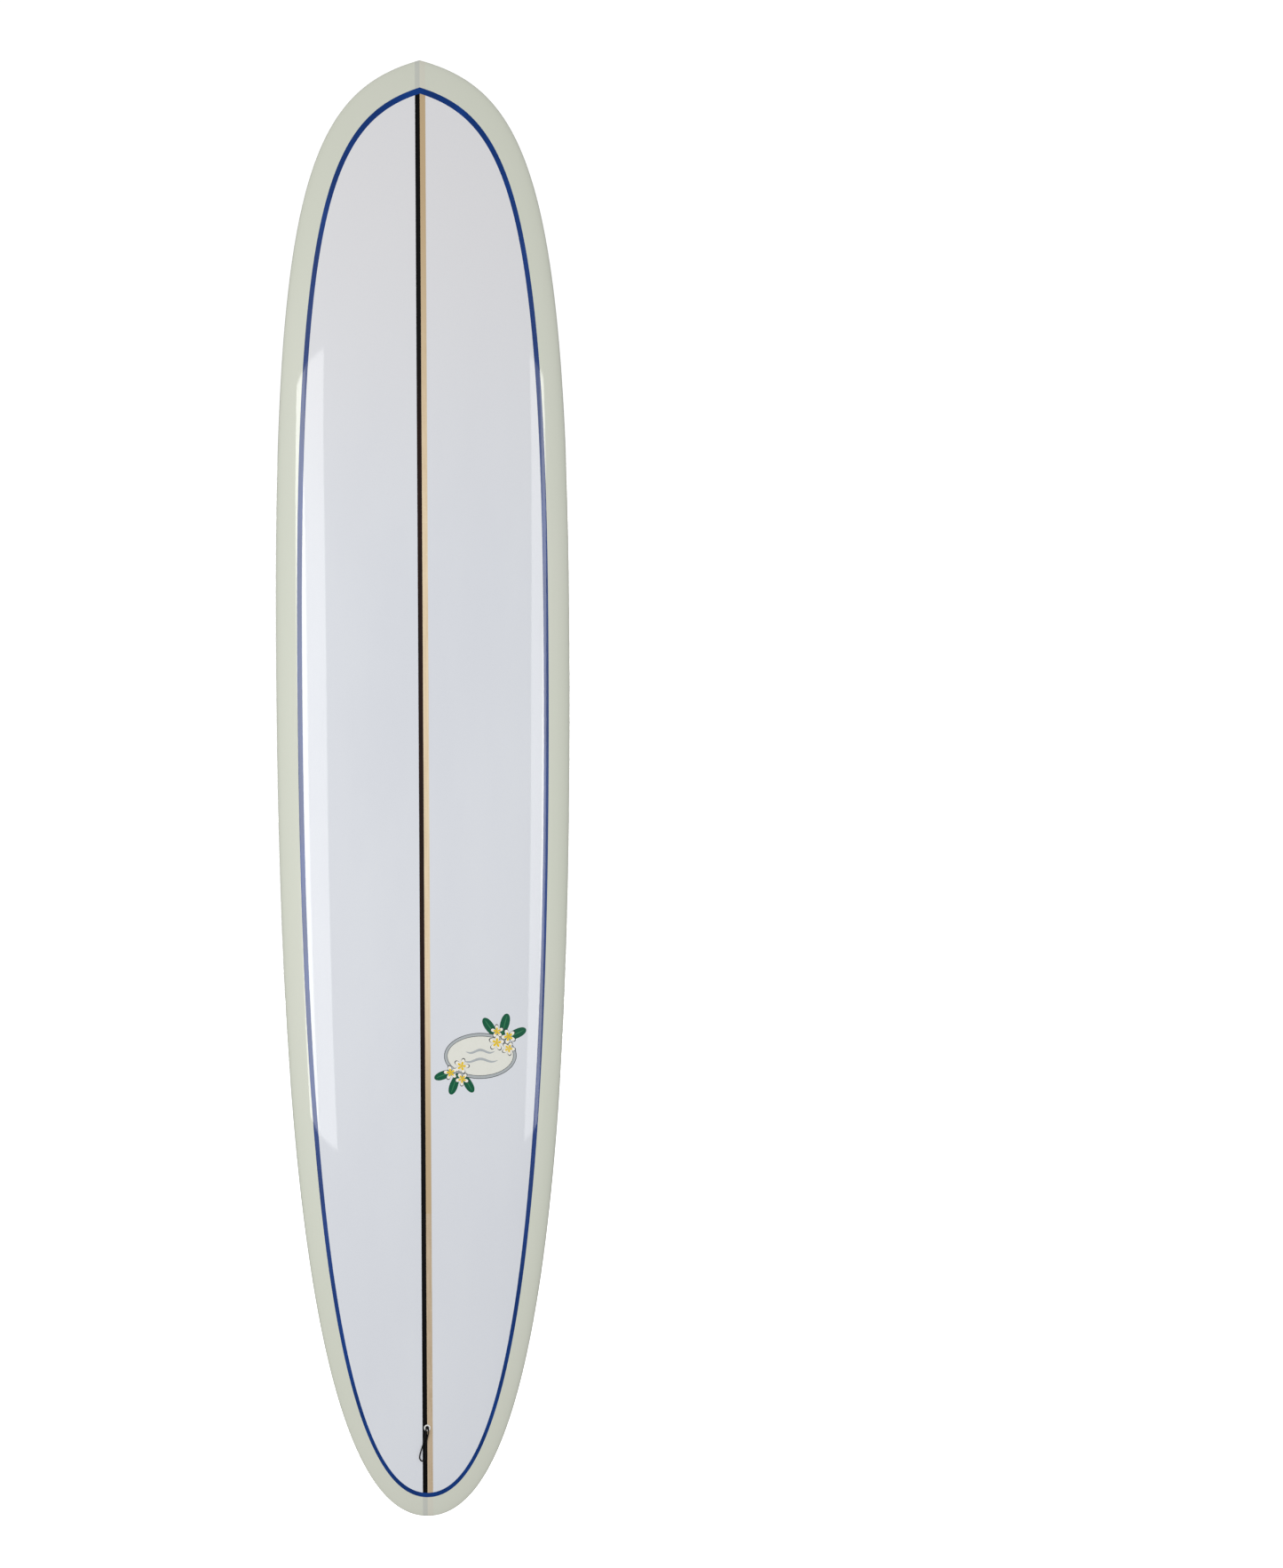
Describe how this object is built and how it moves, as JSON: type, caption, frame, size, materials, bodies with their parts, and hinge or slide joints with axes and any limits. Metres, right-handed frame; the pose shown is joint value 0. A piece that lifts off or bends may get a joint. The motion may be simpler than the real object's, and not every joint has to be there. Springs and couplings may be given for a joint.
{
  "type": "surfboard",
  "caption": "Classic glassed longboard surfboard with a two-strip wooden stringer, tinted rails, pinline, fin box with sliding nut plate, and leash string.",
  "frame": {"origin": "middle of the fin slot's mouth, on the bottom skin's centre line", "axes": "board on end: +Z from tail to nose, -Y out of the deck, +Y out of the bottom, +X to the right as the deck is seen"},
  "size_m": [0.598, 0.1328, 2.896],
  "materials": {
    "foam": "closed-cell polyurethane foam, white",
    "dark_wood": "dark wood, straight grain, under clear resin",
    "light_wood_aft": "tan wood, straight grain, under clear resin",
    "light_wood_fore": "pale wood, straight grain, under clear resin",
    "tinted_glass": "glass cloth in pale grey-green tinted resin",
    "clear_glass": "glass cloth in clear resin",
    "tail_patch": "glass cloth patch in tinted resin",
    "pinline": "opaque blue resin line",
    "gloss": "polished clear gloss resin",
    "deck_emblem": "printed thin paper under resin",
    "bottom_emblem": "printed thin paper under resin",
    "fin_box": "moulded white plastic, sanded flush",
    "box_resin": "cured filled resin",
    "fin_plate": "blackened steel",
    "fin_screw": "blackened steel",
    "leash_cup": "moulded white plastic",
    "leash_pin": "stainless steel",
    "string": "braided black nylon"
  },
  "bodies": {
    "board": {"foam_left": "foam", "foam_right": "foam", "stringer_dark": "dark_wood", "stringer_light_aft": "light_wood_aft", "stringer_light_fore": "light_wood_fore", "bottom_laminate": "tinted_glass", "deck_laminate": "clear_glass", "tail_patch": "tail_patch", "pinline": "pinline", "deck_gloss": "gloss", "bottom_gloss": "gloss", "deck_emblem": "deck_emblem", "bottom_emblem": "bottom_emblem", "fin_box": "fin_box", "fin_box_bed": "box_resin", "leash_cup": "leash_cup", "leash_cup_bed": "box_resin", "leash_pin": "leash_pin", "leash_string": "string", "leash_knot": "string"},
    "nut_plate": {"fin_plate": "fin_plate"},
    "screw": {"fin_screw": "fin_screw"}
  },
  "joints": [
    {"name": "plate_slide", "type": "slide", "parent": "board", "child": "nut_plate", "axis": [0, 0.1109, 0.9938], "range_m": [0, 0.208]},
    {"name": "screw_turn", "type": "hinge", "parent": "nut_plate", "child": "screw", "pos_m": [0, -0.02009, -0.1025], "axis": [0, 0.9938, -0.1109], "continuous": true}
  ]
}
